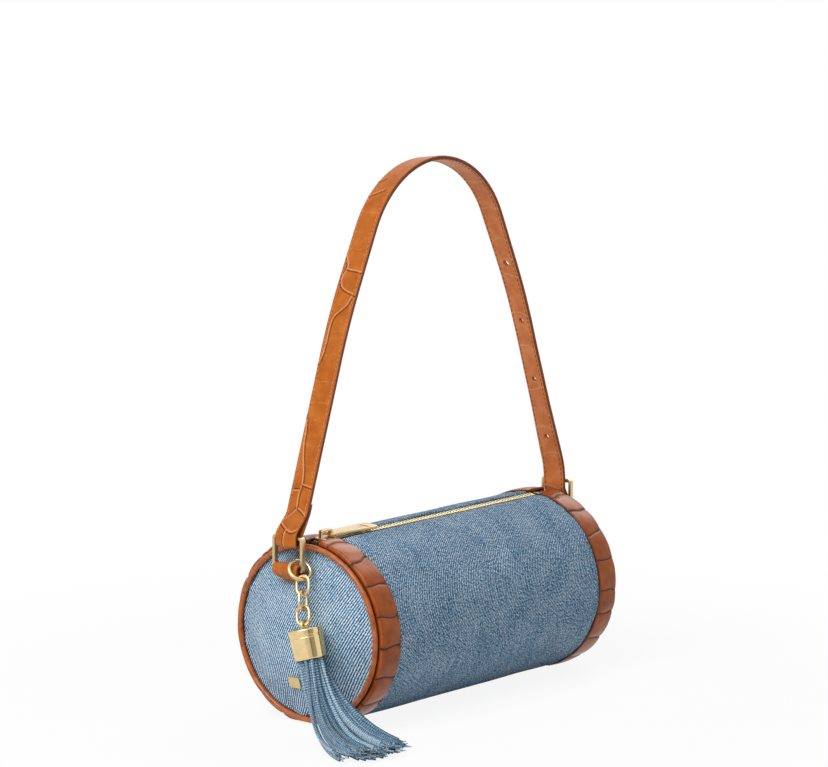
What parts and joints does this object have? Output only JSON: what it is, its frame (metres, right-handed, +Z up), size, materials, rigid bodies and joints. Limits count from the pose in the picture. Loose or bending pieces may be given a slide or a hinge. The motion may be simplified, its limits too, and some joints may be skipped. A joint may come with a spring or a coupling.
{
  "type": "barrel bag",
  "caption": "Small barrel hand bag: denim body, leather end bands, zip along the top, shoulder strap on a ring and a buckle, and a chain tassel.",
  "frame": {"origin": "on the table under the middle of the barrel, in the flat underside", "axes": "+X along the barrel from the tassel end to the buckle end, -Y the front of the picture, +Z up"},
  "size_m": [0.3292, 0.1483, 0.3391],
  "materials": {
    "denim": "blue twill denim",
    "leather": "tan croc-embossed, satin",
    "strap_lining": "smooth tan",
    "lining_cloth": "plain cloth",
    "cord": "cotton cord",
    "zip_tape": "woven navy tape",
    "gold_metal": "polished pale gold",
    "fringe": "soft blue strands"
  },
  "bodies": {
    "bag": {"barrel_panel": "denim", "lining": "lining_cloth", "left_end_panel": "denim", "right_end_panel": "denim", "left_band": "leather", "right_band": "leather", "left_piping": "leather", "right_piping": "leather", "left_piping_cord": "cord", "right_piping_cord": "cord", "zipper_tape_front": "zip_tape", "zipper_tape_back": "zip_tape", "zipper_teeth_front": "gold_metal", "zipper_teeth_back": "gold_metal", "zipper_stops": "gold_metal", "end_plate": "gold_metal"},
    "zipper_slider": {"zipper_slider": "gold_metal"},
    "zipper_pull": {"zipper_pull": "gold_metal"},
    "strap": {"left_tab": "leather", "right_tab": "leather", "strap_outer": "leather", "strap_lining": "strap_lining", "strap_keeper": "leather", "buckle_frame": "gold_metal"},
    "strap_ring": {"strap_ring": "gold_metal"},
    "buckle_prong": {"buckle_prong": "gold_metal"},
    "tassel_ring": {"tassel_ring": "gold_metal"},
    "chain_link_1": {"chain_link_1": "gold_metal"},
    "chain_link_2": {"chain_link_2": "gold_metal"},
    "chain_link_3": {"chain_link_3": "gold_metal"},
    "tassel": {"tassel_bail": "gold_metal", "tassel_cap": "gold_metal", "tassel_binding": "cord", "tassel_fringe": "fringe"}
  },
  "joints": [
    {"name": "zip_slide", "type": "slide", "parent": "bag", "child": "zipper_slider", "axis": [1, 0, 0], "range_m": [0, 0.18]},
    {"name": "pull_lift", "type": "hinge", "parent": "zipper_slider", "child": "zipper_pull", "pos_m": [-0.106, -0.0042, 0.11655], "axis": [0, -0.9976, -0.0698], "range_deg": [0, 90]},
    {"name": "strap_swing", "type": "hinge", "parent": "bag", "child": "strap", "pos_m": [0.00002, 0.00255, 0.086], "axis": [0.9998, -0.0192, 0], "range_deg": [-20, 8]},
    {"name": "ring_tilt", "type": "hinge", "parent": "strap", "child": "strap_ring", "pos_m": [-0.13195, 0.00508, 0.1171], "axis": [0.0192, 0.9998, 0], "range_deg": [0, 2]},
    {"name": "prong_lift", "type": "hinge", "parent": "strap", "child": "buckle_prong", "pos_m": [0.1327, 0, 0.097], "axis": [0.0192, 0.9998, 0], "range_deg": [0, 3]},
    {"name": "hoop_swing", "type": "hinge", "parent": "strap_ring", "child": "tassel_ring", "pos_m": [-0.13269, -0.00197, 0.1034], "axis": [0.8902, -0.4555, 0], "range_deg": [-10, 0]},
    {"name": "link_1_swing", "type": "hinge", "parent": "tassel_ring", "child": "chain_link_1", "pos_m": [-0.13684, -0.01007, 0.09329], "axis": [0.9998, -0.0192, 0], "range_deg": [-8, 20]},
    {"name": "link_2_swing", "type": "hinge", "parent": "chain_link_1", "child": "chain_link_2", "pos_m": [-0.1395, -0.01237, 0.08479], "axis": [0.0185, 0.9635, -0.2672], "range_deg": [0, 25]},
    {"name": "link_3_swing", "type": "hinge", "parent": "chain_link_2", "child": "chain_link_3", "pos_m": [-0.14217, -0.01469, 0.07625], "axis": [0.9572, -0.0943, -0.2737], "range_deg": [-20, 0]},
    {"name": "tassel_swing", "type": "hinge", "parent": "chain_link_3", "child": "tassel", "pos_m": [-0.14484, -0.01701, 0.0677], "axis": [0.0185, 0.9635, -0.2672], "range_deg": [0, 20]}
  ],
  "couplings": [
    {"joint": "link_1_swing", "follows": "strap_swing", "ratio": -1}
  ]
}
